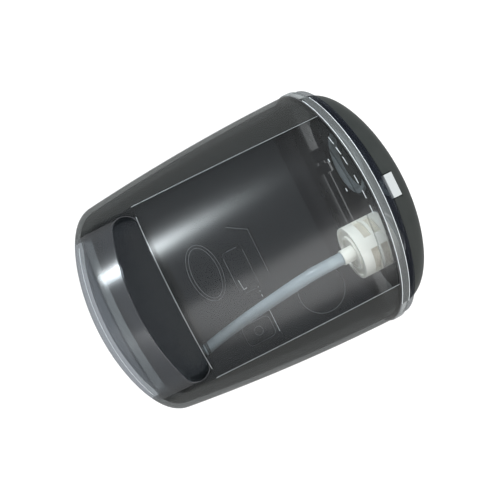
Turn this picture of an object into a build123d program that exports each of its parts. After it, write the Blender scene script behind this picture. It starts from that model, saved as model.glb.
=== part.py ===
from build123d import *
from math import pi, radians, tan
import os

# The tank lies on its flat back. X runs along the tank towards its lid, Y across it, Z out of
# the bulging front. While it is drawn, x is 0 at the outer face of the sealing ring.

# Size of the smoky body
body_length = 122.0
half_width_ring = 62.0
width_loss_middle = 3.5
width_loss_handle = 11.6
front_height_ring = 62.0
front_loss_middle = 0.3
front_loss_handle = 2.5
widest_height = 25.0
back_corner = 22.0
front_fullness = 0.517
corner_fullness = 0.55
wall = 2.0
end_bow = 2.8
end_bow_span = 37.0
end_round = 11.0
end_edge_zone = 25.0
loft_overrun = 3.0
seam_height = 14.0
seam_gap = 0.1

# Finger pocket and the clear handle band across it
pocket_edge = 90.0
pocket_half_span = 37.0
pocket_floor = 52.0
pocket_corner = 7.0
band_inner_edge = 104.0
band_edge_bow = 4.5
band_thickness = 3.4
band_corner = 5.0
glue_gap = 0.03

# Fine line that parts the polished window from the satin sides
window_half_span = 39.3
window_line = 0.5
window_line_depth = 0.25

# Clear end plate, its sealing ring, its shoulder and its raised face
ring_width = 3.0
ring_proud = 0.4
gasket_thickness = 0.8
gasket_lip = 0.6
gasket_inner_lip = 0.4
shoulder_width = 3.6
shoulder_step = 0.6
spigot_length = 4.2
spigot_gap = 0.6
spigot_wall = 1.8
face_outer = 9.8
face_wall = 1.8
face_foot = 19.0
face_round = 4.6

# Lid
lid_outer = 14.0
lid_wall = 2.0
lid_gap = 0.3
lid_half_width = 57.4
lid_back = 1.9
lid_round = 9.0
lid_to_face_gap = 0.6
skirt_foot = 24.0
notch_width = 10.6
notch_depth = 4.2
tab_gap = 0.35
tab_thickness = 2.1
tab_sink = 0.1
notch_height = 6.0
liner_thickness = 1.2
liner_margin = 0.3

# Lid hinge
hinge_x = 9.0
hinge_z = 7.5
knuckle_radius = 3.2
pin_radius = 1.5
pin_fit = 0.05
pin_press_gap = 0.02
ear_y = 22.0
ear_width = 5.0
knuckle_y = 30.0
knuckle_width = 7.0
ear_slot_gap = 0.4
ear_slot_rise = 1.2

# Filling hole in the end plate and the seal that closes it
fill_y = 18.0
fill_z = 46.0
fill_radius = 16.5
seal_overlap = 3.0
plug_gap = 0.7
plug_depth = 2.6
plug_wall = 2.0

# Outlet fitting, its nut, O-rings and valve
outlet_y = -21.0
outlet_z = 50.0
nozzle_radius = 5.5
nozzle_end = 13.7
fitting_radius = 7.0
fitting_flange_radius = 9.6
fitting_flange = 1.5
fitting_tail = 8.0
valve_bore = 4.5
valve_mouth = 3.2
mouth_depth = 1.5
nut_radius = 9.5
nut_thickness = 1.8
o_ring_wire = 1.3
o_ring_groove_depth = 0.9
lid_outlet_radius = 11.0
poppet_head_radius = 3.9
poppet_head = 1.6
poppet_stem_radius = 1.2
poppet_stem_tail = 1.0
nose_side_gap = 0.8
nose_end_gap = 0.4
valve_seal = 0.8
guide_thickness = 1.4
guide_fit = 0.1
guide_hub_wall = 1.1
guide_rim = 0.7
guide_spoke = 1.0
spring_wire = 0.5
spring_coils = 5.0
spring_side_gap = 0.4

# Filter around the outlet
cage_radius = 12.8
cage_length = 17.2
cage_wall = 1.5
cage_rim = 3.2
cage_window = 3.6
cage_bar = 1.4
cage_windows_around = 4
cage_post_angle = 25.0
cage_turn = 35.0
mesh_thickness = 0.3
mesh_gap = 0.05
filter_seal = 1.0
filter_side_gap = 0.1
cap_rim = 1.6
cap_dish = 0.9
cap_lip = 1.4
cap_groove = 3.0
cap_ridge = 1.0
cap_collar_radius = 3.6
cap_collar = 5.0
barb_radius = 2.1
barb_length = 7.0
barb_bore = 1.2

# Suction hose, from the barb to its free end on the tank's back wall
hose_radius = 3.0
hose_bore = 2.15
hose_bend_share = 0.45
# Later points of its route: distance past the collar, sideways move, drop below the barb
hose_upper_points = [(13.0, 0.0, 0.0), (25.2, -1.8, 4.8), (35.7, -4.4, 13.6), (45.5, -7.2, 25.0)]
# Last points of its route: distance past the collar, sideways move, rise above its resting height
hose_lower_points = [(55.7, -10.2, 9.6), (66.7, -13.0, 3.4), (77.2, -15.8, 0.6)]

# Breather valve that lets air in as water leaves
breather_y = 0.0
breather_below_top = 11.0
breather_radius = 3.0
breather_flange_radius = 4.8
breather_flange = 0.8
breather_lip = 0.6
breather_lip_thickness = 1.5
breather_bore = 0.8

# Flat pad under the back that the tank rests on, and its distances from the ring and the handle end
rest_pad_height = 0.2
rest_pad_half_width = 24.0
rest_pad_from_ring = 12.0
rest_pad_from_end = 20.0

# Features moulded into the back of the tank
oval_x = 74.4
oval_long = 15.0
oval_short = 7.6
oval_depth = 1.6
oval_lip = 1.4
hook_x = 57.0
hook_y = -7.0
hook_size = (8.0, 21.0)
hook_depth = 6.0
boss_x = 22.0
boss_from_side = 26.0
boss_radius = 11.6
boss_depth = 5.0
foot_x = 62.5
foot_from_side = 21.0
foot_size = (16.0, 11.0)
foot_depth = 1.2
pad_corner = 1.8
foot_dimple_radius = 2.4
foot_dimple = 0.6
rib_x = 44.0
rib_y = (-14.4, 11.2)
slant_rib_end = (54.0, 17.3)
rib_two_x = 52.6
rib_two_from_side = 15.0
rib_two_inner_end = -17.5
rib_width = 1.2
rib_height = 2.4

# Places worked out from the sizes above
boss_y = boss_from_side - half_width_ring
foot_y = foot_from_side - half_width_ring
rib_two_y = (rib_two_from_side - half_width_ring, rib_two_inner_end)
breather_z = widest_height + front_height_ring - breather_below_top
face_inner = face_outer - face_wall
cage_end = face_inner
cage_start = cage_end - cage_length
cap_face = cage_start - cap_rim
origin_shift = (body_length - lid_outer) / 2
liner_outer = lid_outer - lid_wall
liner_inner = liner_outer - liner_thickness
knuckle_heights = (hinge_z - knuckle_radius, hinge_z + knuckle_radius)
far = 200.0
# Overlap of joined solids, and how far a cut passes beyond the face it opens
weld = 0.5
pass_through = 1.0


def profile_plane(x):
    """Plane across the tank at x, with Y as its first direction and Z as its second."""
    return Plane(origin=(x, 0, 0), x_dir=(0, 1, 0), z_dir=(1, 0, 0))


def bulged_outline(half_width, height, back, corner):
    """Outline of the tank's section: flat back, round lower corners and a bulging front."""
    middle = widest_height
    flat = half_width - corner
    drop = middle - back
    across = corner_fullness * corner
    down = corner_fullness * drop
    rise = front_fullness * height
    reach = front_fullness * half_width
    top = middle + height
    low = middle - down
    high = middle + rise
    edge = half_width
    right_corner = Bezier((flat, back), (flat + across, back), (edge, low), (edge, middle))
    right_front = Bezier((edge, middle), (edge, high), (reach, top), (0, top))
    left_front = Bezier((0, top), (-reach, top), (-edge, high), (-edge, middle))
    left_corner = Bezier((-edge, middle), (-edge, low), (-flat - across, back), (-flat, back))
    base = Line((-flat, back), (flat, back))
    return make_face([base, right_corner, right_front, left_front, left_corner])


def ring_section(inset):
    """Section at the sealing ring, moved in by inset all round. Its back is never proud."""
    back = max(inset, 0)
    return bulged_outline(half_width_ring - inset, front_height_ring - inset, back, back_corner - inset)


def lid_section(inset):
    """Section of the lid, moved in by inset all round. It is level with the shoulder in front."""
    height = front_height_ring - shoulder_step - inset
    return bulged_outline(lid_half_width - inset, height, lid_back + inset, back_corner - inset)


def slab(section, start, end):
    """Solid with the given section from x = start to x = end."""
    return extrude(profile_plane(start) * section, amount=end - start)


def rounded_slab(section, start, end, radius):
    """Slab with its edge rounded at x = end."""
    body = slab(section, start, end)
    return fillet(body.faces().sort_by(Axis.X)[-1].edges(), radius)


def block(x_range, y_range, z_range):
    """Box between the given pairs of limits."""
    size = [limits[1] - limits[0] for limits in (x_range, y_range, z_range)]
    centre = [(limits[1] + limits[0]) / 2 for limits in (x_range, y_range, z_range)]
    return Pos(*centre) * Box(*size)


def along_x(radius, start, end, y, z):
    """Round bar along X."""
    return Pos((start + end) / 2, y, z) * (Rot(0, 90, 0) * Cylinder(radius, end - start))


def along_y(radius, start, end, x, z):
    """Round bar along Y."""
    return Pos(x, (start + end) / 2, z) * (Rot(90, 0, 0) * Cylinder(radius, end - start))


def upright_prism(outline):
    """Tall prism over an outline drawn in plan."""
    return extrude(outline, amount=far)


def bow_radius(span, bow):
    """Radius of an arc that bows by the given amount over half its span."""
    return (span * span + bow * bow) / (2 * bow)


def envelope(inset):
    """The whole body as one solid, moved in by inset all round, with its handle end rounded."""
    length = body_length - inset
    past_end = length + loft_overrun
    stations = [
        (0, half_width_ring, front_height_ring),
        (-body_length / 2, half_width_ring - width_loss_middle, front_height_ring - front_loss_middle),
        (-past_end, half_width_ring - width_loss_handle, front_height_ring - front_loss_handle),
    ]
    sections = []
    for x, half_width, height in stations:
        back = inset + rest_pad_height
        outline = bulged_outline(half_width - inset, height - inset, back, back_corner - inset)
        sections.append(profile_plane(x) * outline)
    body = loft(sections)
    radius = bow_radius(end_bow_span, end_bow) - inset
    body = body & Pos(radius - length, 0, far / 2 - 1) * Cylinder(radius, far)
    end_edges = [edge for edge in body.edges() if edge.bounding_box().max.X < end_edge_zone - body_length]
    return fillet(end_edges, end_round - inset)


def pocket_block(grow):
    """Space of the finger pocket, grown by the given amount on its walls and floor."""
    edge = -pocket_edge + grow
    half_span = pocket_half_span + grow
    outline = Pos((edge - far / 2), 0) * Rectangle(far, 2 * half_span)
    corners = outline.vertices().sort_by(Axis.X)[-2:]
    outline = fillet(corners, pocket_corner + grow)
    return Pos(0, 0, pocket_floor - grow) * upright_prism(outline)


def finger_slot():
    """Opening in front of the handle band, drawn in plan, with a bowed edge on the band's side."""
    middle = -band_inner_edge
    side = middle + band_edge_bow
    right = -pocket_edge + pocket_corner
    bow = ThreePointArc((side, pocket_half_span), (middle, 0), (side, -pocket_half_span))
    lower = Line((side, -pocket_half_span), (right, -pocket_half_span))
    end = Line((right, -pocket_half_span), (right, pocket_half_span))
    upper = Line((right, pocket_half_span), (side, pocket_half_span))
    outline = make_face([bow, lower, end, upper])
    corners = outline.vertices().sort_by(Axis.X)[:2]
    return upright_prism(fillet(corners, band_corner))


def window_lines(outer):
    """Fine groove along the window's two long edges, with a step at each pocket corner."""
    skin = outer - envelope(window_line_depth)
    grooves = Part()
    for side in (-1, 1):
        start = -pocket_edge
        y = side * window_half_span
        grooves += block((start, far), (y - window_line / 2, y + window_line / 2), (widest_height, far))
        step_y = sorted((y, side * (pocket_half_span - pocket_corner / 2)))
        grooves += block((start - window_line, start), step_y, (widest_height, far))
    return skin & grooves


def above_seam():
    """Everything in front of the seam between the two shells."""
    return block((-far, -ring_width - gasket_thickness), (-far, far), (seam_height + seam_gap, far))


def below_seam():
    """Everything behind the seam between the two shells."""
    return block((-far, -ring_width - gasket_thickness), (-far, far), (-far, seam_height))


def front_shell(outer, inner):
    """Bulging smoky front with the sides, the end wall and the finger pocket."""
    shell = (outer - inner) & above_seam()
    shell = shell - pocket_block(0)
    walls = (pocket_block(wall) - pocket_block(0)) & outer & above_seam()
    return shell + walls - window_lines(outer)


def oval(radius_change, z_range):
    """Oval bar of the latch pocket, long across the tank."""
    outline = Pos(-oval_x, 0) * Ellipse(oval_short + radius_change, oval_long + radius_change)
    return Pos(0, 0, z_range[0]) * extrude(outline, amount=z_range[1] - z_range[0])


def pad(x, y, size, grow, z_range):
    """Rectangular bar with round corners."""
    sides = [side + 2 * grow for side in size]
    outline = Pos(-x, y) * RectangleRounded(*sides, pad_corner + grow)
    return Pos(0, 0, z_range[0]) * extrude(outline, amount=z_range[1] - z_range[0])


def cup(x, y, radius, z_range):
    """Upright round bar on the back wall."""
    height = z_range[1] - z_range[0]
    return Pos(-x, y, z_range[0] + height / 2) * Cylinder(radius, height)


def back_ribs():
    """Two straight ribs and a slanted one inside the back wall."""
    z_range = (wall / 2, wall + rib_height)
    ribs = block((-rib_x, -rib_x + rib_width), rib_y, z_range)
    ribs += block((-rib_two_x, -rib_two_x + rib_width), rib_two_y, z_range)
    slant = Line((-rib_x + rib_width / 2, rib_y[1]), (-slant_rib_end[0], slant_rib_end[1]))
    outline = trace(slant, rib_width)
    return ribs + Pos(0, 0, z_range[0]) * extrude(outline, amount=z_range[1] - z_range[0])


def rear_shell(outer, inner):
    """Flat back of the tank with the pockets and ribs that meet the machine."""
    shell = (outer - inner) & below_seam()
    raised = pad(hook_x, hook_y, hook_size, wall, (wall / 2, hook_depth + wall))
    raised += oval(oval_lip, (wall / 2, wall + oval_depth))
    raised += cup(boss_x, boss_y, boss_radius + wall, (wall / 2, boss_depth + wall))
    raised += pad(foot_x, foot_y, foot_size, wall / 2, (wall / 2, wall + foot_depth))
    raised += back_ribs()
    shell += raised & outer & below_seam()
    pad_x = (rest_pad_from_end - body_length, -rest_pad_from_ring)
    shell += block(pad_x, (-rest_pad_half_width, rest_pad_half_width), (0, wall))
    shell -= pad(hook_x, hook_y, hook_size, 0, (-1, hook_depth))
    shell -= oval(0, (-1, oval_depth))
    shell -= cup(boss_x, boss_y, boss_radius, (-1, boss_depth))
    shell -= pad(foot_x, foot_y, foot_size, 0, (-1, foot_depth))
    return shell + cup(foot_x, foot_y, foot_dimple_radius, (foot_dimple, wall))


def handle_band(outer):
    """Clear arched band that bridges the pocket and closes it at the handle end."""
    inside = envelope(band_thickness)
    band = (outer - inside) & pocket_block(-glue_gap)
    return band - finger_slot()


def end_gasket():
    """Flat rubber gasket between the shells' rim and the sealing ring."""
    start = -ring_width - gasket_thickness
    outline = ring_section(gasket_lip / 2) - ring_section(spigot_gap + wall - gasket_inner_lip)
    return slab(outline, start, -ring_width)


def face_section(inset):
    """Raised face of the end plate, which the lid covers, cut off above the hinge."""
    outline = lid_section(lid_wall + lid_to_face_gap + inset)
    cut = Pos(0, face_foot + inset + far / 2) * Rectangle(far, far)
    return outline & cut


def end_plate():
    """Clear plate: sealing ring, shoulder, raised face with its holes, hinge ears and catch tab."""
    spigot_start = -ring_width - spigot_length - gasket_thickness
    spigot_inset = wall + spigot_gap
    plate = slab(ring_section(spigot_inset), spigot_start, 0)
    plate += slab(ring_section(-ring_proud), -ring_width, 0)
    plate += slab(ring_section(shoulder_step), 0, shoulder_width)
    plate += rounded_slab(face_section(0), 0, face_outer, face_round)
    plate -= slab(ring_section(spigot_inset + spigot_wall), spigot_start, shoulder_width - spigot_wall)
    plate -= rounded_slab(face_section(face_wall), 0, face_inner, face_round - face_wall)
    plate -= along_x(fill_radius, 0, far, fill_y, fill_z)
    plate -= along_x(fitting_radius + pin_fit, 0, far, outlet_y, outlet_z)
    plate -= along_x(breather_radius + pin_fit, 0, far, breather_y, breather_z)
    for side in (-1, 1):
        near = side * ear_y - ear_width / 2
        ear = along_y(knuckle_radius, near, near + ear_width, hinge_x, hinge_z)
        root = (shoulder_width - weld, hinge_x)
        ear += block(root, (near, near + ear_width), knuckle_heights)
        plate += ear
    plate -= along_y(pin_radius + pin_press_gap, -far, far, hinge_x, hinge_z)
    return plate + catch_tab()


def catch_tab():
    """Springy clear tab in the lid's notch that holds the lid shut."""
    top = widest_height + front_height_ring - shoulder_step - tab_sink
    half = notch_width / 2 - tab_gap
    end = shoulder_width + notch_depth - tab_gap
    return block((shoulder_width - weld, end), (-half, half), (top - tab_thickness, top))


def lid_body():
    """Dark hollow lid with a rounded front edge, its notch, its outlet hole and its knuckles."""
    start = shoulder_width + lid_gap
    lid = rounded_slab(lid_section(0), start, lid_outer, lid_round)
    inner_end = lid_outer - lid_wall
    lid -= rounded_slab(lid_section(lid_wall), start - pass_through, inner_end, lid_round - lid_wall)
    lid -= block((start - pass_through, inner_end), (-far, far), (-far, skirt_foot))
    lid -= block((start - pass_through, far), (-far, far), (-far, hinge_z - knuckle_radius))
    lid -= along_x(lid_outlet_radius, 0, far, outlet_y, outlet_z)
    top = widest_height + front_height_ring
    half = notch_width / 2
    lid -= block((0, shoulder_width + notch_depth), (-half, half), (top - notch_height, top + pass_through))
    for side in (-1, 1):
        low = side * ear_y - ear_width / 2 - ear_slot_gap
        high = low + ear_width + 2 * ear_slot_gap
        lid -= block((0, far), (low, high), (-far, hinge_z + knuckle_radius + ear_slot_rise))
        near = side * knuckle_y - knuckle_width / 2
        knuckle = along_y(knuckle_radius, near, near + knuckle_width, hinge_x, hinge_z)
        arm = (hinge_x, inner_end + weld)
        knuckle += block(arm, (near, near + knuckle_width), knuckle_heights)
        lid += knuckle
    return lid - along_y(pin_radius + pin_fit, -far, far, hinge_x, hinge_z)


def lid_liner():
    """Flat panel welded inside the lid, which carries the seal."""
    margin = lid_round + liner_margin
    outline = lid_section(margin) & Pos(0, skirt_foot + far / 2) * Rectangle(far, far)
    liner = slab(outline, liner_inner, liner_outer)
    return liner - along_x(lid_outlet_radius, 0, far, outlet_y, outlet_z)


def lid_seal():
    """Soft ring on the liner that presses on the rim of the filling hole, with a short plug."""
    ring = along_x(fill_radius + seal_overlap, face_outer, liner_inner, fill_y, fill_z)
    plug_radius = fill_radius - plug_gap
    ring += along_x(plug_radius, face_outer - plug_depth, face_outer + weld, fill_y, fill_z)
    return ring - along_x(plug_radius - plug_wall, 0, far, fill_y, fill_z)


def hinge_pin():
    """Steel pin through the plate's ears and the lid's knuckles."""
    half = knuckle_y + knuckle_width / 2
    return along_y(pin_radius, -half, half, hinge_x, hinge_z)


def outlet_plane(x):
    """Plane across the outlet's axis at x."""
    return Plane(origin=(x, outlet_y, outlet_z), x_dir=(0, 1, 0), z_dir=(1, 0, 0))


def outlet_fitting():
    """Moulded outlet: flange inside the plate, tail around the valve and nozzle outside."""
    y, z = outlet_y, outlet_z
    tail_start = face_inner - fitting_flange - fitting_tail
    fitting = along_x(fitting_radius, tail_start, face_outer, y, z)
    fitting += along_x(fitting_flange_radius, face_inner - fitting_flange, face_inner, y, z)
    fitting += along_x(nozzle_radius, face_outer, nozzle_end, y, z)
    fitting -= along_x(valve_bore, tail_start, nozzle_end - mouth_depth, y, z)
    fitting -= along_x(valve_mouth, tail_start, nozzle_end, y, z)
    ring_middle = (face_outer + nut_thickness + nozzle_end) / 2
    half = o_ring_wire / 2
    groove = along_x(nozzle_radius + pass_through, ring_middle - half, ring_middle + half, y, z)
    groove -= along_x(nozzle_radius - o_ring_groove_depth, 0, far, y, z)
    return fitting - groove


def outlet_o_ring():
    """Rubber O-ring around the nozzle."""
    ring_middle = (face_outer + nut_thickness + nozzle_end) / 2
    major = nozzle_radius - o_ring_groove_depth + o_ring_wire / 2
    ring = Torus(major, o_ring_wire / 2 - pin_press_gap)
    return Pos(ring_middle, outlet_y, outlet_z) * (Rot(0, 90, 0) * ring)


def fitting_nut():
    """Hexagonal nut that clamps the fitting to the plate."""
    nut = extrude(outlet_plane(face_outer) * RegularPolygon(nut_radius, 6), amount=nut_thickness)
    return nut - along_x(nozzle_radius + pin_fit, 0, far, outlet_y, outlet_z)


def seat_face():
    """Inner face of the nozzle's mouth, where the valve closes."""
    return nozzle_end - mouth_depth


def valve_poppet():
    """Poppet: round head behind the mouth and a stem that slides in the guide."""
    y, z = outlet_y, outlet_z
    head_end = seat_face() - valve_seal
    head = along_x(poppet_head_radius, head_end - poppet_head, head_end, y, z)
    nose = along_x(valve_mouth - nose_side_gap, head_end, nozzle_end - nose_end_gap, y, z)
    stem_start = guide_face() - guide_thickness - poppet_stem_tail
    return head + nose + along_x(poppet_stem_radius, stem_start, head_end - poppet_head + weld, y, z)


def poppet_seal():
    """Rubber washer on the poppet's head."""
    y, z = outlet_y, outlet_z
    head_end = seat_face() - valve_seal
    washer = along_x(poppet_head_radius, head_end, seat_face(), y, z)
    return washer - along_x(valve_mouth - nose_side_gap, 0, far, y, z)


def guide_face():
    """Face of the stem guide that the spring stands on."""
    return face_inner - fitting_flange - fitting_tail + guide_thickness


def stem_guide():
    """Spoked disc in the fitting's tail that guides the stem and carries the spring."""
    y, z = outlet_y, outlet_z
    start = guide_face() - guide_thickness
    disc = along_x(valve_bore - pin_press_gap, start, guide_face(), y, z)
    hub_radius = poppet_stem_radius + guide_hub_wall
    rim_radius = valve_bore - guide_rim
    openings = along_x(rim_radius, -far, far, y, z) - along_x(hub_radius, -far, far, y, z)
    half = guide_spoke / 2
    spokes = block((-far, far), (y - half, y + half), (z - rim_radius, z + rim_radius))
    spokes += block((-far, far), (y - rim_radius, y + rim_radius), (z - half, z + half))
    disc -= openings - spokes
    return disc - along_x(poppet_stem_radius + guide_fit, -far, far, y, z)


def valve_spring():
    """Steel spring between the guide and the poppet's head."""
    start = guide_face()
    end = seat_face() - valve_seal - poppet_head
    radius = valve_bore - spring_side_gap - spring_wire / 2
    run = end - start - spring_wire
    helix = Helix(run / spring_coils, run, radius)
    profile = Plane(origin=helix @ 0, z_dir=helix % 0) * Circle(spring_wire / 2)
    coil = sweep(profile, path=helix)
    lower = Torus(radius, spring_wire / 2)
    coil = coil + lower + Pos(0, 0, run) * lower
    return outlet_plane(start + spring_wire / 2) * coil


def filter_cage():
    """White cage around the outlet with two rows of windows."""
    y, z = outlet_y, outlet_z
    end = cage_end - filter_seal
    cage = along_x(cage_radius, cage_start, end, y, z)
    cage -= along_x(cage_radius - cage_wall, cage_start - pass_through, end + pass_through, y, z)
    flange = along_x(cage_radius, end - cage_wall, end, y, z)
    cage += flange - along_x(fitting_flange_radius + filter_side_gap, -far, far, y, z)
    window_angle = 360 / cage_windows_around - cage_post_angle
    for row in range(2):
        start = cage_start + cage_rim + row * (cage_window + cage_bar)
        for number in range(cage_windows_around):
            turn = cage_turn + number * 360 / cage_windows_around
            cage -= window_wedge(start, start + cage_window, turn, window_angle)
    return cage


def window_wedge(start, end, turn, angle):
    """Wedge that cuts one window of the cage."""
    reach = cage_radius + pass_through
    arc = CenterArc((0, 0), reach, turn - angle / 2, angle)
    outline = make_face([arc, Line(arc @ 1, (0, 0)), Line((0, 0), arc @ 0)])
    inner = Circle(cage_radius - cage_wall - weld)
    return extrude(outlet_plane(start) * (outline - inner), amount=end - start)


def filter_mesh():
    """Fine mesh sleeve against the inside of the cage."""
    y, z = outlet_y, outlet_z
    radius = cage_radius - cage_wall - mesh_gap
    end = cage_end - filter_seal - cage_wall
    sleeve = along_x(radius, cage_start, end - mesh_gap, y, z)
    return sleeve - along_x(radius - mesh_thickness, -far, far, y, z)


def filter_seal_ring():
    """Flat rubber ring between the cage and the end plate."""
    y, z = outlet_y, outlet_z
    ring = along_x(cage_radius, cage_end - filter_seal, cage_end, y, z)
    return ring - along_x(fitting_flange_radius + filter_side_gap, -far, far, y, z)


def filter_cap():
    """Dished white cap of the filter, with the collar and barb that the hose is pushed on."""
    y, z = outlet_y, outlet_z
    cap = along_x(cage_radius, cap_face, cage_start, y, z)
    before = cap_face - pass_through
    bottom = cap_face + cap_dish
    ridge_radius = cage_radius - cap_lip - cap_groove
    dish = along_x(cage_radius - cap_lip, before, bottom, y, z)
    dish -= along_x(ridge_radius, before, bottom, y, z)
    dish += along_x(ridge_radius - cap_ridge, before, bottom, y, z)
    cap -= dish
    cap += along_x(cap_collar_radius, cap_face - cap_collar, bottom + weld, y, z)
    cap += along_x(barb_radius, cap_face - cap_collar - barb_length, cap_face, y, z)
    return cap - along_x(barb_bore, -far, cage_start + pass_through, y, z)


def hose_route():
    """Points of the hose's centre line: out of the barb, down, and onto the back wall."""
    collar = cap_face - cap_collar
    rest = wall + rest_pad_height + hose_radius
    points = [(collar, outlet_y, outlet_z)]
    for past, sideways, drop in hose_upper_points:
        points.append((collar - past, outlet_y + sideways, outlet_z - drop))
    for past, sideways, rise in hose_lower_points:
        points.append((collar - past, outlet_y + sideways, rest + rise))
    return points


def hose_radii(points):
    """Radius of the bend at each inner point, as large as the two runs beside it allow."""
    radii = []
    for before, here, after in zip(points, points[1:], points[2:]):
        first = Vector(*here) - Vector(*before)
        second = Vector(*after) - Vector(*here)
        shorter = min(first.length, second.length)
        half_turn = radians(first.get_angle(second) / 2)
        radii.append(hose_bend_share * shorter / tan(half_turn))
    return radii


def suction_hose():
    """Soft translucent hose, pushed on the barb, with its free end on the back wall."""
    points = hose_route()
    radii = hose_radii(points)
    path = FilletPolyline(*points, radius=radii)
    start = Plane(origin=path @ 0, z_dir=path % 0)
    tube = sweep(start * (Circle(hose_radius) - Circle(hose_bore)), path=path)
    section = pi * (hose_radius**2 - hose_bore**2)
    print("hose radii", [round(radius, 1) for radius in radii], "length", round(path.length, 2))
    print("hose volume", round(tube.volume, 1), "section times length", round(section * path.length, 1))
    return tube


def breather_valve():
    """Soft umbrella valve in a hole of the end plate."""
    y, z = breather_y, breather_z
    lip_start = face_inner - breather_lip_thickness
    valve = along_x(breather_radius, lip_start, face_outer + weld, y, z)
    valve += along_x(breather_flange_radius, face_outer, face_outer + breather_flange, y, z)
    valve += along_x(breather_radius + breather_lip, lip_start, face_inner, y, z)
    return valve - along_x(breather_bore, -far, far, y, z)


def main():
    """Write every piece of the tank in its own file."""
    outer = envelope(0)
    inner = envelope(wall)
    pieces = {
        "front_shell": front_shell(outer, inner),
        "rear_shell": rear_shell(outer, inner),
        "handle_band": handle_band(outer),
        "end_gasket": end_gasket(),
        "end_plate": end_plate(),
        "lid": lid_body(),
        "lid_liner": lid_liner(),
        "lid_seal": lid_seal(),
        "hinge_pin": hinge_pin(),
        "outlet_fitting": outlet_fitting(),
        "outlet_o_ring": outlet_o_ring(),
        "fitting_nut": fitting_nut(),
        "valve_poppet": valve_poppet(),
        "poppet_seal": poppet_seal(),
        "stem_guide": stem_guide(),
        "valve_spring": valve_spring(),
        "filter_cage": filter_cage(),
        "filter_mesh": filter_mesh(),
        "filter_seal": filter_seal_ring(),
        "filter_cap": filter_cap(),
        "suction_hose": suction_hose(),
        "breather_valve": breather_valve(),
    }
    os.makedirs("parts", exist_ok=True)
    for name, piece in pieces.items():
        export_step(Pos(origin_shift, 0, 0) * piece, f"parts/{name}.step")


main()
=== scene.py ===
from math import cos, pi, radians, sin

import bpy
from mathutils import Matrix, Vector


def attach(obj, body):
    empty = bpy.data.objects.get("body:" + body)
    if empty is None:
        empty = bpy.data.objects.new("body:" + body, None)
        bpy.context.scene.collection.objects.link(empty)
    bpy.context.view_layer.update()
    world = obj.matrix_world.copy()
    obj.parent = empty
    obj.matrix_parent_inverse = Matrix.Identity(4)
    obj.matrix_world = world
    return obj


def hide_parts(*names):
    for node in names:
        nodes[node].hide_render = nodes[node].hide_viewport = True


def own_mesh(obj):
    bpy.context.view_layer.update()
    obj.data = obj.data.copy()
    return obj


# The tank lies on its flat back. +X runs towards the lid, +Y across the tank and +Z out of the
# bulging front. All sizes are in metres.

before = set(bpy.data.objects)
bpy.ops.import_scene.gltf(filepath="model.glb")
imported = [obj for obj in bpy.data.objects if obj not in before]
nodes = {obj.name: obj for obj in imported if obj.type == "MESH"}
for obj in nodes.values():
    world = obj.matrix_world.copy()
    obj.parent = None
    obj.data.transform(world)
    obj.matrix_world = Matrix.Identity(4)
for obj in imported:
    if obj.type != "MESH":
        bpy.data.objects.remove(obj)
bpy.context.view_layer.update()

# Camera: its place, and its turn about its own line of sight after two small tips
camera_place = (-0.0225, 0.0062, 0.2745)
camera_turn = 0.4617
camera_tip = 0.1076
camera_roll = 0.0213
camera_lens = 36.0
camera_sensor = 36.0

# Suction hose: its route from the filter's collar to its free end
hose_points = [
    (0.0382, -0.0210, 0.0500),
    (0.0252, -0.0210, 0.0500),
    (0.0130, -0.0228, 0.0452),
    (0.0025, -0.0254, 0.0364),
    (-0.0073, -0.0282, 0.0250),
    (-0.0175, -0.0312, 0.0148),
    (-0.0285, -0.0340, 0.0086),
    (-0.0390, -0.0368, 0.0058),
]
hose_diameter = 0.006
hose_wall = 0.00085

# Valve spring: where its wire starts and ends along X, its axis in Y and Z, its radii and turns, and the
# places along its wire
spring_ends = (0.05415, 0.06355)
spring_axis = (-0.0210, 0.0500)
spring_radius = 0.00385
spring_wire = 0.0005
spring_coils = 5
spring_points = 240

# Front shell: half the window's width, the width over which an opacity changes, and the opacity inside
# and outside the window
window_half_span = 0.0393
change_width = 0.0006
window_haze = 0.05
satin_haze = 0.46

# End plate: the opacity and colours of its spigot, plate, foot and catch tab, and where they change
plate_haze = 0.34
spigot_haze = 0.03
ring_inner_x = 0.0509
plate_foot_haze = 0.90
plate_foot_top = 0.022
ring_outer_x = 0.0541
# Pale colour of the ring paints the highlight on its chamfered face
ring_highlight_colour = (0.17, 0.18, 0.18)
catch_start_x = 0.0578
catch_low_z = 0.0838
catch_colour = (0.30, 0.31, 0.31)
shoulder_colour = (0.016, 0.018, 0.024)

# Fine wires laid on edges and marks: pale ones paint highlights and a dark one paints shade.
# Each ring edge has its X and a shift along X to the foot of its step, and each row of ticks has its X,
# their length and each one's Y.
edge_width = 0.00034
fine_edge_width = 0.00022
ring_edge_places = ((0.0512, -0.0004), (0.0538, 0.0004))
ring_edge_half_span = 0.050
window_line_ends = (-0.0360, 0.0500)
pocket_edge_x = -0.0357
pocket_edge_half_span = 0.034
slot_side_y = 0.0371
slot_middle_x = -0.0501
slot_side_x = -0.0456
slot_corner = 0.005
pocket_corner = 0.007
band_glint_x = -0.0645
band_glint_bow = 0.0028
band_glint_half_span = 0.033
tick_rows = (
    (0.0475, 0.0036, (0.0268, 0.0216, 0.0169, 0.0083, 0.0017, -0.0049)),
    (0.0420, 0.0014, (0.0197, 0.0063)),
)

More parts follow.
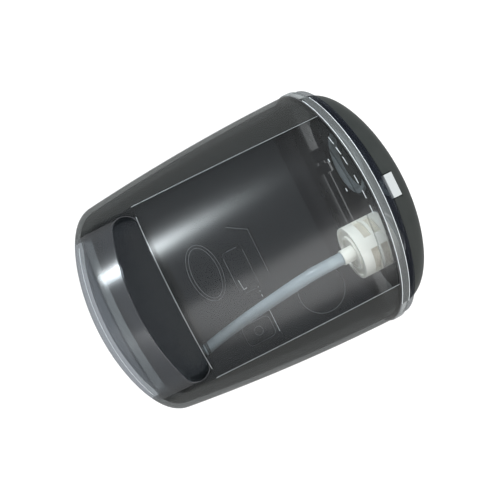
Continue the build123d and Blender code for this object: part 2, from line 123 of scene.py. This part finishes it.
# Features of the back wall, as centres, sizes, radii, places and ends in plan
latch_oval = (-0.0204, 0.0)
latch_oval_sizes = ((0.0088, 0.0162), (0.0072, 0.0146))
hook_pad = (-0.0030, -0.0070)
hook_pad_size = (0.0114, 0.0244)
hook_glint = ((-0.0066, -0.0112), (-0.0061, -0.0170), (-0.0042, -0.0168))
foot_pad = (-0.0085, -0.0410)
foot_pad_size = (0.0164, 0.0114)
foot_dimple = 0.0024
recess = (0.0320, -0.0360)
recess_radius = 0.0132
pad_corner = 0.0026
slanted_rib = ((0.0003, 0.0172), (0.0104, 0.0112), (0.0104, -0.0142))
side_rib_x = 0.0016
side_rib_ends = (-0.0268, -0.0462)
side_rib_dashes = ((-0.0184, -0.0196), (-0.0216, -0.0222), (-0.0238, -0.0252))

# Share of light that see-through plastic mirrors, face on and at a grazing angle
thin_gloss = (0.012, 0.020)
band_gloss = (0.024, 0.14)
grazing_start = 0.25
grazing_blend = 0.35

# Strength of the mirroring on a body of plastic: usual, see-through and the lid's
plain_shine = 0.5
coat_shine = 0.02
lid_shine = 0.03

# Scale of the faint streaks in see-through plastic, and how much darker they make its body
plastic_streaks = 55.0
streak_shade = 0.86

# Range of a noise's values that is used, and the depth of fine bumps
noise_range = (0.3, 0.7)
bump_depth = 0.0001

# Row of soft panels that draws the bright streak along the bulge: what they point at, the row's Y and Z,
# a panel's size, each one's power, and where the row starts along X
streak_aim = (-0.026, 0.020, 0.081)
streak_row = (0.81, 0.68)
streak_panel = (0.11, 0.17)
streak_watts = (0.4, 2.6, 8.0, 3.4, 1.1, 0.25)
streak_first_x = -0.395
streak_colour = (0.90, 0.97, 1.0)

# General light: a large soft panel over the lower side, one past the lid and a faint one past the handle
tank_middle = (0, 0, 0.04)
veil_place = (0.30, -0.75, 0.80)
veil_aim = (0.03, -0.01, 0.085)
veil_size = (1.10, 1.20)
veil_watts = 22.0
key_place = (1.1, 0.25, 0.75)
key_size = (0.8, 0.8)
key_watts = 9.0
fill_place = (-0.9, -0.5, 0.9)
fill_size = (0.9, 0.9)
fill_watts = 3.0
world_level = 0.62

# Floor: its size, its gap under the tank, its tone and the share of plain white in what the camera sees
floor_size = 8
floor_gap = 0.0003
floor_tone = 0.86
floor_white = 0.80

# Heights from which lines drop onto the tank and its back, and the lowest place of the slot's rim
above_tank = 0.12
above_back = 0.02
slot_lowest_z = 0.055


def make_camera():
    """Camera at the photograph's place, looking down on the bulging front."""
    data = bpy.data.cameras.new("camera")
    data.lens = camera_lens
    data.sensor_width = camera_sensor
    data.clip_start = 0.01
    camera = bpy.data.objects.new("camera", data)
    tip = Matrix.Rotation(-camera_tip, 4, "Y")
    roll = Matrix.Rotation(-camera_roll, 4, "X")
    turn = Matrix.Rotation(-camera_turn, 4, "Z")
    camera.matrix_world = Matrix.Translation(camera_place) @ tip @ roll @ turn
    bpy.context.scene.collection.objects.link(camera)
    bpy.context.scene.camera = camera


def new_material(name):
    """Empty node material, its tree and its output."""
    material = bpy.data.materials.new(name)
    material.use_nodes = True
    tree = material.node_tree
    tree.nodes.clear()
    return material, tree, tree.nodes.new("ShaderNodeOutputMaterial")


def noise(tree, scale, detail=3.0, roughness=0.5):
    """Noise over the object's own coordinates."""
    place = tree.nodes.new("ShaderNodeTexCoord")
    node = tree.nodes.new("ShaderNodeTexNoise")
    node.inputs["Scale"].default_value = scale
    node.inputs["Detail"].default_value = detail
    node.inputs["Roughness"].default_value = roughness
    tree.links.new(place.outputs["Object"], node.inputs["Vector"])
    return node.outputs["Fac"]


def spread(tree, value, low, high):
    """Value from low to high as a noise goes through its range."""
    node = tree.nodes.new("ShaderNodeMapRange")
    node.inputs["From Min"].default_value = noise_range[0]
    node.inputs["From Max"].default_value = noise_range[1]
    node.inputs["To Min"].default_value = low
    node.inputs["To Max"].default_value = high
    tree.links.new(value, node.inputs["Value"])
    return node.outputs["Result"]


def blend_colours(tree, value, first, second):
    """Colour between two colours."""
    node = tree.nodes.new("ShaderNodeMix")
    node.data_type = "RGBA"
    node.inputs["A"].default_value = (*first, 1)
    node.inputs["B"].default_value = (*second, 1)
    tree.links.new(value, node.inputs["Factor"])
    return node.outputs["Result"]


def fine_bump(tree, height, strength):
    """Bump of a fine depth from a height."""
    node = tree.nodes.new("ShaderNodeBump")
    node.inputs["Strength"].default_value = strength
    node.inputs["Distance"].default_value = bump_depth
    tree.links.new(height, node.inputs["Height"])
    return node.outputs["Normal"]


def principled(tree, roughness, shine=plain_shine):
    """Principled shader of the given roughness and strength of its mirroring."""
    node = tree.nodes.new("ShaderNodeBsdfPrincipled")
    node.inputs["Roughness"].default_value = roughness
    node.inputs["Specular IOR Level"].default_value = shine
    return node


def opaque_plastic(name, first, second, roughness, grain, bump, shine=plain_shine):
    """Moulded plastic or rubber whose colour and roughness vary a little."""
    material, tree, output = new_material(name)
    shader = principled(tree, roughness, shine)
    colour = noise(tree, grain / 8)
    tree.links.new(blend_colours(tree, colour, first, second), shader.inputs["Base Color"])
    tree.links.new(spread(tree, colour, roughness * 0.85, roughness * 1.15), shader.inputs["Roughness"])
    tree.links.new(fine_bump(tree, noise(tree, grain), bump), shader.inputs["Normal"])
    tree.links.new(shader.outputs[0], output.inputs["Surface"])
    return material


def mirrored(tree, clear, edge, gloss, roughness):
    """Clear shader that mirrors a share of the light, more at a grazing angle."""
    rim = tree.nodes.new("ShaderNodeMapRange")
    rim.inputs["From Min"].default_value = grazing_start
    rim.inputs["To Min"].default_value = gloss[0]
    rim.inputs["To Max"].default_value = gloss[1]
    tree.links.new(edge.outputs["Facing"], rim.inputs["Value"])
    mirror = tree.nodes.new("ShaderNodeBsdfGlossy")
    mirror.inputs["Color"].default_value = (1, 1, 1, 1)
    mirror.inputs["Roughness"].default_value = roughness
    pane = tree.nodes.new("ShaderNodeMixShader")
    tree.links.new(rim.outputs["Result"], pane.inputs["Fac"])
    tree.links.new(clear.outputs[0], pane.inputs[1])
    tree.links.new(mirror.outputs[0], pane.inputs[2])
    return pane


def see_through(name, tint, deep_tint, body, haze, roughness, gloss=None):
    """Thin see-through plastic: part is its own body, and the rest passes light or mirrors it.

    The tint deepens towards a grazing view, where the path through the plastic is longer. The body's
    colour and the haze, which is its share, are values or functions that build them in the tree.
    """
    material, tree, output = new_material(name)
    edge = tree.nodes.new("ShaderNodeLayerWeight")
    edge.inputs["Blend"].default_value = grazing_blend
    clear = tree.nodes.new("ShaderNodeBsdfTransparent")
    tree.links.new(blend_colours(tree, edge.outputs["Facing"], tint, deep_tint), clear.inputs["Color"])
    coat = principled(tree, roughness, coat_shine)
    streaks = noise(tree, plastic_streaks)
    if callable(body):
        colour = body(tree)
    else:
        darker = tuple(channel * streak_shade for channel in body)
        colour = blend_colours(tree, streaks, darker, body)
    tree.links.new(colour, coat.inputs["Base Color"])
    tree.links.new(spread(tree, streaks, roughness * 0.8, roughness * 1.2), coat.inputs["Roughness"])
    pane = mirrored(tree, clear, edge, gloss, roughness) if gloss else clear
    whole = tree.nodes.new("ShaderNodeMixShader")
    share = haze(tree) if callable(haze) else spread(tree, streaks, haze * 0.94, haze * 1.06)
    tree.links.new(share, whole.inputs["Fac"])
    tree.links.new(pane.outputs[0], whole.inputs[1])
    tree.links.new(coat.outputs[0], whole.inputs[2])
    tree.links.new(whole.outputs[0], output.inputs["Surface"])
    return material


def share_past(tree, axis, place, width):
    """Value that rises from 0 to 1 at a distance from the middle along an axis, over a given width."""
    coordinates = tree.nodes.new("ShaderNodeTexCoord")
    parts = tree.nodes.new("ShaderNodeSeparateXYZ")
    tree.links.new(coordinates.outputs["Object"], parts.inputs["Vector"])
    distance = tree.nodes.new("ShaderNodeMath")
    distance.operation = "ABSOLUTE"
    tree.links.new(parts.outputs[axis], distance.inputs[0])
    step = tree.nodes.new("ShaderNodeMapRange")
    step.inputs["From Min"].default_value = place - width / 2
    step.inputs["From Max"].default_value = place + width / 2
    tree.links.new(distance.outputs[0], step.inputs["Value"])
    return step.outputs["Result"]


def between(tree, share, low, high):
    """Value from low to high as a share goes from 0 to 1."""
    node = tree.nodes.new("ShaderNodeMapRange")
    node.inputs["To Min"].default_value = low
    node.inputs["To Max"].default_value = high
    tree.links.new(share, node.inputs["Value"])
    return node.outputs["Result"]


def side_haze(tree):
    """Opacity of the front shell: low in the window and high on the satin sides."""
    past_window = share_past(tree, "Y", window_half_span, change_width)
    return between(tree, past_window, window_haze, satin_haze)


def combine(tree, operation, first, second):
    """One value from two by a math operation."""
    node = tree.nodes.new("ShaderNodeMath")
    node.operation = operation
    tree.links.new(first, node.inputs[0])
    tree.links.new(second, node.inputs[1])
    return node.outputs[0]


def catch_share(tree):
    """Value of 1 in the end plate's catch tab and 0 elsewhere."""
    past_shoulder = share_past(tree, "X", catch_start_x, change_width)
    return combine(tree, "MINIMUM", past_shoulder, share_past(tree, "Z", catch_low_z, change_width))


def foot_share(tree):
    """Value of 1 at the end plate's thick foot and 0 above it."""
    return between(tree, share_past(tree, "Z", plate_foot_top, plate_foot_top / 2), 1.0, 0.0)


def ring_haze(tree):
    """Opacity of the end plate: low in its spigot, higher from the ring on, highest in foot and tab."""
    plate = between(tree, share_past(tree, "X", ring_inner_x, change_width), spigot_haze, plate_haze)
    thick = combine(tree, "MAXIMUM", foot_share(tree), catch_share(tree))
    return combine(tree, "MAXIMUM", plate, between(tree, thick, 0.0, plate_foot_haze))


def ring_body(tree):
    """Colour of the end plate: pale in its ring, where it paints the highlight on the ring's chamfered face,
    pale in its catch tab, and dark elsewhere.
    """
    past_ring = share_past(tree, "X", ring_outer_x, change_width)
    dark = combine(tree, "MAXIMUM", past_ring, foot_share(tree))
    plate = blend_colours(tree, dark, ring_highlight_colour, shoulder_colour)
    node = tree.nodes.new("ShaderNodeMix")
    node.data_type = "RGBA"
    tree.links.new(plate, node.inputs["A"])
    node.inputs["B"].default_value = (*catch_colour, 1)
    tree.links.new(catch_share(tree), node.inputs["Factor"])
    return node.outputs["Result"]


def mesh_cloth(name):
    """Fine woven nylon mesh, seen as a cloth with a fine grain."""
    material, tree, output = new_material(name)
    shader = principled(tree, 0.6)
    colour = blend_colours(tree, noise(tree, 900.0), (0.50, 0.46, 0.38), (0.66, 0.61, 0.51))
    tree.links.new(colour, shader.inputs["Base Color"])
    tree.links.new(fine_bump(tree, noise(tree, 2600.0), 0.5), shader.inputs["Normal"])
    tree.links.new(shader.outputs[0], output.inputs["Surface"])
    return material


def brushed_steel(name):
    """Drawn steel wire."""
    material, tree, output = new_material(name)
    shader = principled(tree, 0.28)
    shader.inputs["Metallic"].default_value = 1.0
    colour = blend_colours(tree, noise(tree, 400.0), (0.55, 0.55, 0.55), (0.70, 0.70, 0.69))
    tree.links.new(colour, shader.inputs["Base Color"])
    tree.links.new(shader.outputs[0], output.inputs["Surface"])
    return material


def make_hose():
    """Free hose from the filter's collar to the back wall, with its real bore."""
    curve = bpy.data.curves.new("hose", "CURVE")
    curve.dimensions = "3D"
    curve.bevel_depth = 1.0
    curve.bevel_resolution = 8
    curve.resolution_u = 24
    spline = curve.splines.new("NURBS")
    spline.points.add(len(hose_points) - 1)
    for point, place in zip(spline.points, hose_points):
        point.co = (*place, 1)
        point.radius = hose_diameter / 2
    spline.order_u = 3
    spline.use_endpoint_u = True
    hose = bpy.data.objects.new("hose", curve)
    bpy.context.scene.collection.objects.link(hose)
    bore = hose.modifiers.new("bore", "SOLIDIFY")
    bore.thickness = hose_wall
    bore.offset = -1
    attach(hose, "tank")
    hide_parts("suction_hose")
    return hose


def on_surface(name, x, y, above, sink=0.0):
    """Place on a CAD node straight below a height, sunk into it by a little."""
    hit, place, _, _ = nodes[name].ray_cast(Vector((x, y, above)), Vector((0, 0, -1)))
    return place - Vector((0, 0, sink)) if hit else None


def drape(name, outline, above, sink=0.0):
    """Places where an outline drawn in plan falls on a CAD node."""
    places = [on_surface(name, x, y, above, sink) for x, y in outline]
    return [place for place in places if place]


def fine_curve(name, lines, width):
    """Round wire of one width through each line's places."""
    curve = bpy.data.curves.new(name, "CURVE")
    curve.dimensions = "3D"
    curve.bevel_depth = 1.0
    curve.bevel_resolution = 1
    for line in lines:
        spline = curve.splines.new("POLY")
        spline.points.add(len(line) - 1)
        for point, place in zip(spline.points, line):
            point.co = (*place, 1)
            point.radius = width / 2
    return curve


def fine_lines(name, lines, width, material):
    """One piece of fine raised lines, each through its own places."""
    curve = fine_curve(name, lines, width)
    curve.materials.append(material)
    piece = bpy.data.objects.new(name, curve)
    bpy.context.scene.collection.objects.link(piece)
    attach(piece, "tank")
    return piece


def steps(start, end, count):
    """Evenly spaced values from start to end."""
    return [start + (end - start) * number / (count - 1) for number in range(count)]


def across(x, start, end, count=40):
    """Outline in plan that runs across the tank at x."""
    return [(x, y) for y in steps(start, end, count)]


def ring_edge_highlights(material):
    """Painted highlights: pale wires along the foot of the sealing ring's two steps."""
    lines = []
    for x, outwards in ring_edge_places:
        outline = across(x, -ring_edge_half_span, ring_edge_half_span)
        places = drape("end_plate", outline, above_tank, edge_width)
        lines.append([place + Vector((outwards, 0, 0)) for place in places])
    fine_lines("ring_edge_highlights", lines, edge_width, material)


def window_edge_highlights(material):
    """Painted highlights: pale wires along the long edges of the window and the edge of the finger pocket
    between them.
    """
    start, end = window_line_ends
    lines = []
    for side in (-1, 1):
        outline = [(x, side * window_half_span) for x in steps(start, end, 50)]
        lines.append(drape("front_shell", outline, above_tank))
    outline = across(pocket_edge_x, -pocket_edge_half_span, pocket_edge_half_span)
    lines.append(drape("front_shell", outline, above_tank, fine_edge_width / 2))
    fine_lines("window_edge_highlights", lines, fine_edge_width, material)


def level_ticks(material):
    """Plain level marks inside the front wall, beside the sealing ring, drawn as pale wires whose colour
    paints their highlights.
    """
    lines = []
    for x, length, places in tick_rows:
        for y in places:
            outline = across(x, y - length / 2, y + length / 2, 3)
            lines.append(drape("front_shell", outline, above_tank, edge_width))
    fine_lines("level_ticks", lines, edge_width, material)


def arc(x, y, radius, start, end, count=10):
    """Outline in plan along an arc, from one angle in degrees to another."""
    turns = [radians(angle) for angle in steps(start, end, count)]
    return [(x + radius * cos(turn), y + radius * sin(turn)) for turn in turns]


def rounded_outline(centre, size, corner):
    """Closed outline in plan of a rectangle with round corners."""
    outline = []
    for number, (x_side, y_side) in enumerate(((1, 1), (-1, 1), (-1, -1), (1, -1))):
        x = centre[0] + x_side * (size[0] / 2 - corner)
        y = centre[1] + y_side * (size[1] / 2 - corner)
        outline += arc(x, y, corner, number * 90, number * 90 + 90, 5)
    return outline + outline[:1]


def oval_outline(centre, radii):
    """Closed outline in plan of an oval."""
    round_outline = arc(0, 0, 1, 0, 360, 49)
    return [(centre[0] + radii[0] * x, centre[1] + radii[1] * y) for x, y in round_outline]


def back_edge_highlights(material):
    """Painted highlights: dim pale wires on the raised edges of what is moulded into the back wall, seen
    through the window.
    """
    outlines = [oval_outline(latch_oval, radii) for radii in latch_oval_sizes]
    outlines.append(rounded_outline(hook_pad, hook_pad_size, pad_corner))
    outlines.append(rounded_outline(foot_pad, foot_pad_size, pad_corner))
    outlines.append(oval_outline(foot_pad, (foot_dimple, foot_dimple)))
    outlines.append(oval_outline(recess, (recess_radius, recess_radius)))
    outlines.append(slanted_rib)
    lines = [drape("rear_shell", outline, above_back) for outline in outlines]
    fine_lines("back_edge_highlights", lines, fine_edge_width, material)


def back_glints(material):
    """Painted highlights on the back wall's brightest edges: a short angle and a broken straight line."""
    outlines = [hook_glint, across(side_rib_x, *side_rib_ends, 3)]
    outlines += [across(side_rib_x, *ends, 2) for ends in side_rib_dashes]
    lines = [drape("rear_shell", outline, above_back) for outline in outlines]
    fine_lines("back_glints", lines, edge_width, material)


def on_body(point):
    """Place on the handle band or the front shell, whichever lies on top at a point in plan."""
    places = [on_surface(name, *point, above_tank, edge_width / 4) for name in ("handle_band", "front_shell")]
    places = [place for place in places if place and place.z > slot_lowest_z]
    return max(places, key=lambda place: place.z) if places else None


def slot_rim_shade(material):
    """Painted shade: a dark wire round the opening between the handle band and the pocket's edge."""
    bow = []
    for y in steps(slot_side_y - slot_corner, slot_corner - slot_side_y, 40):
        share = (y / slot_side_y) ** 2
        bow.append((slot_middle_x + (slot_side_x - slot_middle_x) * share, y))
    corner_x = pocket_edge_x - pocket_corner
    corner_y = slot_side_y - pocket_corner
    right = arc(corner_x, corner_y, pocket_corner, 10, 90)
    left = arc(bow[0][0] + slot_corner, slot_side_y - slot_corner, slot_corner, 90, 180)
    upper = right + left
    lower = [(x, -y) for x, y in reversed(upper)]
    lines = []
    for outline in (upper, bow, lower):
        lines.append([place for place in map(on_body, outline) if place])
    fine_lines("slot_rim_shade", lines, edge_width, material)


def band_glint(material):
    """Painted highlight: a pale wire inside the handle band's outer edge."""
    half = band_glint_half_span
    bow = [(band_glint_x + band_glint_bow * (y / half) ** 2, y) for y in steps(-half, half, 40)]
    lines = [drape("handle_band", bow, above_tank, fine_edge_width / 2)]
    fine_lines("band_glint", lines, fine_edge_width, material)


def make_spring(material):
    """Spring behind the valve's head, closed at both ends."""
    start, end = spring_ends
    places = []
    for share in steps(0, 1, spring_points):
        turn = 2 * pi * share * (spring_coils + 2)
        rise = min(max(share * (spring_coils + 2) - 1, 0), spring_coils) / spring_coils
        x = start + (end - start) * rise
        y = spring_axis[0] + spring_radius * cos(turn)
        z = spring_axis[1] + spring_radius * sin(turn)
        places.append((x, y, z))
    curve = fine_curve("spring_wire", [places], spring_wire)
    mesh_data = bpy.data.meshes.new_from_object(bpy.data.objects.new("spring_wire", curve))
    mesh_data.materials.append(material)
    spring = bpy.data.objects.new("spring", mesh_data)
    bpy.context.scene.collection.objects.link(spring)
    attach(spring, "tank")
    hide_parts("valve_spring")
    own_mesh(spring)


def dress(name, material):
    """Give a CAD node its finish."""
    data = nodes[name].data
    data.materials.clear()
    data.materials.append(material)


def light_tree(tree, output, shader, level):
    """Shader that gives way, by a share, to plain white to the camera, in gloss and through glass."""
    paths = tree.nodes.new("ShaderNodeLightPath")
    first = tree.nodes.new("ShaderNodeMath")
    first.operation = "MAXIMUM"
    second = tree.nodes.new("ShaderNodeMath")
    second.operation = "MAXIMUM"
    tree.links.new(paths.outputs["Is Camera Ray"], first.inputs[0])
    tree.links.new(paths.outputs["Is Glossy Ray"], first.inputs[1])
    tree.links.new(first.outputs[0], second.inputs[0])
    tree.links.new(paths.outputs["Is Transmission Ray"], second.inputs[1])
    share = tree.nodes.new("ShaderNodeMath")
    share.operation = "MULTIPLY"
    share.inputs[1].default_value = level
    tree.links.new(second.outputs[0], share.inputs[0])
    white = tree.nodes.new("ShaderNodeEmission" if shader.type != "BACKGROUND" else "ShaderNodeBackground")
    white.inputs["Color"].default_value = (1, 1, 1, 1)
    white.inputs["Strength"].default_value = 1.0
    mix = tree.nodes.new("ShaderNodeMixShader")
    tree.links.new(share.outputs[0], mix.inputs["Fac"])
    tree.links.new(shader.outputs[0], mix.inputs[1])
    tree.links.new(white.outputs[0], mix.inputs[2])
    tree.links.new(mix.outputs[0], output.inputs["Surface"])


def make_floor():
    """Plain white floor that keeps a soft shadow."""
    bpy.ops.mesh.primitive_plane_add(size=floor_size, location=(0, 0, -floor_gap))
    floor = bpy.context.object
    floor.name = "floor"
    material, tree, output = new_material("floor")
    plain = tree.nodes.new("ShaderNodeBsdfDiffuse")
    plain.inputs["Color"].default_value = (floor_tone, floor_tone, floor_tone, 1)
    light_tree(tree, output, plain, floor_white)
    floor.data.materials.append(material)


def make_world():
    """Even pale surroundings."""
    world = bpy.data.worlds.new("world")
    bpy.context.scene.world = world
    world.use_nodes = True
    tree = world.node_tree
    tree.nodes.clear()
    output = tree.nodes.new("ShaderNodeOutputWorld")
    plain = tree.nodes.new("ShaderNodeBackground")
    plain.inputs["Color"].default_value = (1, 1, 1, 1)
    plain.inputs["Strength"].default_value = world_level
    light_tree(tree, output, plain, 1.0)


def make_light(name, place, aim, size, watts, colour=(1, 1, 1)):
    """Rectangular soft light that points at a place."""
    data = bpy.data.lights.new(name, "AREA")
    data.shape = "RECTANGLE"
    data.size, data.size_y = size
    data.energy = watts
    data.color = colour
    light = bpy.data.objects.new(name, data)
    light.location = place
    back = Vector(place) - Vector(aim)
    light.rotation_mode = "QUATERNION"
    light.rotation_quaternion = back.to_track_quat("Z", "Y")
    bpy.context.scene.collection.objects.link(light)


make_camera()
hose = make_hose()

smoky = see_through(
    "smoky_front",
    tint=(0.95, 0.96, 0.965),
    deep_tint=(0.24, 0.26, 0.26),
    body=(0.028, 0.029, 0.028),
    haze=side_haze,
    roughness=0.27,
    gloss=thin_gloss,
)
smoky_back = see_through(
    "smoky_back",
    tint=(0.17, 0.185, 0.20),
    deep_tint=(0.13, 0.14, 0.15),
    body=(0.032, 0.034, 0.038),
    haze=0.24,
    roughness=0.30,
)
clear = see_through(
    "clear_band",
    tint=(0.90, 0.92, 0.94),
    deep_tint=(0.22, 0.24, 0.27),
    body=(0.10, 0.105, 0.115),
    haze=0.06,
    roughness=0.21,
    gloss=band_gloss,
)
clear_ring = see_through(
    "clear_ring",
    tint=(0.965, 0.97, 0.97),
    deep_tint=(0.45, 0.47, 0.48),
    body=ring_body,
    haze=ring_haze,
    roughness=0.24,
)
lid_grey = opaque_plastic(
    "lid_plastic",
    first=(0.015, 0.017, 0.016),
    second=(0.024, 0.026, 0.025),
    roughness=0.50,
    grain=900.0,
    bump=0.25,
    shine=lid_shine,
)
white = opaque_plastic("white_plastic", (0.78, 0.765, 0.70), (0.86, 0.845, 0.78), 0.42, 1200.0, 0.15)
rubber = opaque_plastic("dark_rubber", (0.018, 0.018, 0.020), (0.030, 0.030, 0.032), 0.55, 1500.0, 0.3)
silicone = see_through(
    "silicone",
    tint=(0.70, 0.76, 0.80),
    deep_tint=(0.55, 0.62, 0.66),
    body=(0.52, 0.58, 0.61),
    haze=0.50,
    roughness=0.22,
    gloss=band_gloss,
)
steel = brushed_steel("steel")
# Pale wire colour that paints highlights on the ring's steps, the level marks and the handle band
highlight_line = opaque_plastic("highlight_line", (0.42, 0.45, 0.47), (0.54, 0.57, 0.58), 0.25, 1500.0, 0.1)
# Softer wire colour that paints highlights on the window's edges and the pocket's edge
soft_highlight_line = opaque_plastic("soft_highlight_line", (0.24, 0.26, 0.27), (0.34, 0.36, 0.37), 0.30, 1500.0, 0.1)
# Dim wire colour that paints highlights on the edges moulded into the back wall
dim_highlight_line = opaque_plastic("dim_highlight_line", (0.20, 0.21, 0.22), (0.28, 0.29, 0.30), 0.30, 1500.0, 0.1)
# Near-white wire colour that paints the brightest highlights on the back wall
glint = opaque_plastic("glint", (0.80, 0.82, 0.82), (0.92, 0.93, 0.93), 0.25, 1500.0, 0.1)
# Near-black wire colour that paints shade round the slot
shaded_edge = opaque_plastic("shaded_edge", (0.008, 0.009, 0.012), (0.016, 0.017, 0.021), 0.20, 1500.0, 0.1)
mesh = mesh_cloth("mesh")

finishes = {
    "front_shell": smoky,
    "rear_shell": smoky_back,
    "handle_band": clear,
    "end_plate": clear_ring,
    "end_gasket": rubber,
    "lid": lid_grey,
    "lid_liner": lid_grey,
    "lid_seal": silicone,
    "hinge_pin": steel,
    "outlet_fitting": white,
    "outlet_o_ring": rubber,
    "fitting_nut": white,
    "valve_poppet": white,
    "poppet_seal": rubber,
    "stem_guide": white,
    "filter_cage": white,
    "filter_cap": white,
    "filter_mesh": mesh,
    "filter_seal": silicone,
    "breather_valve": silicone,
}
for name, material in finishes.items():
    dress(name, material)
hose.data.materials.append(silicone)
make_spring(steel)
# Pale and dark wires that paint highlights and shade on edges and marks
ring_edge_highlights(highlight_line)
window_edge_highlights(soft_highlight_line)
level_ticks(highlight_line)
back_edge_highlights(dim_highlight_line)
back_glints(glint)
slot_rim_shade(shaded_edge)
band_glint(highlight_line)

make_floor()
make_world()
for number, watts in enumerate(streak_watts):
    place = (streak_first_x + streak_panel[0] * (number - 0.5), *streak_row)
    make_light(f"streak_{number}", place, streak_aim, streak_panel, watts, streak_colour)
make_light("veil", veil_place, veil_aim, veil_size, veil_watts)
make_light("key", key_place, tank_middle, key_size, key_watts)
make_light("fill", fill_place, tank_middle, fill_size, fill_watts)
bpy.context.scene.view_settings.view_transform = "Standard"
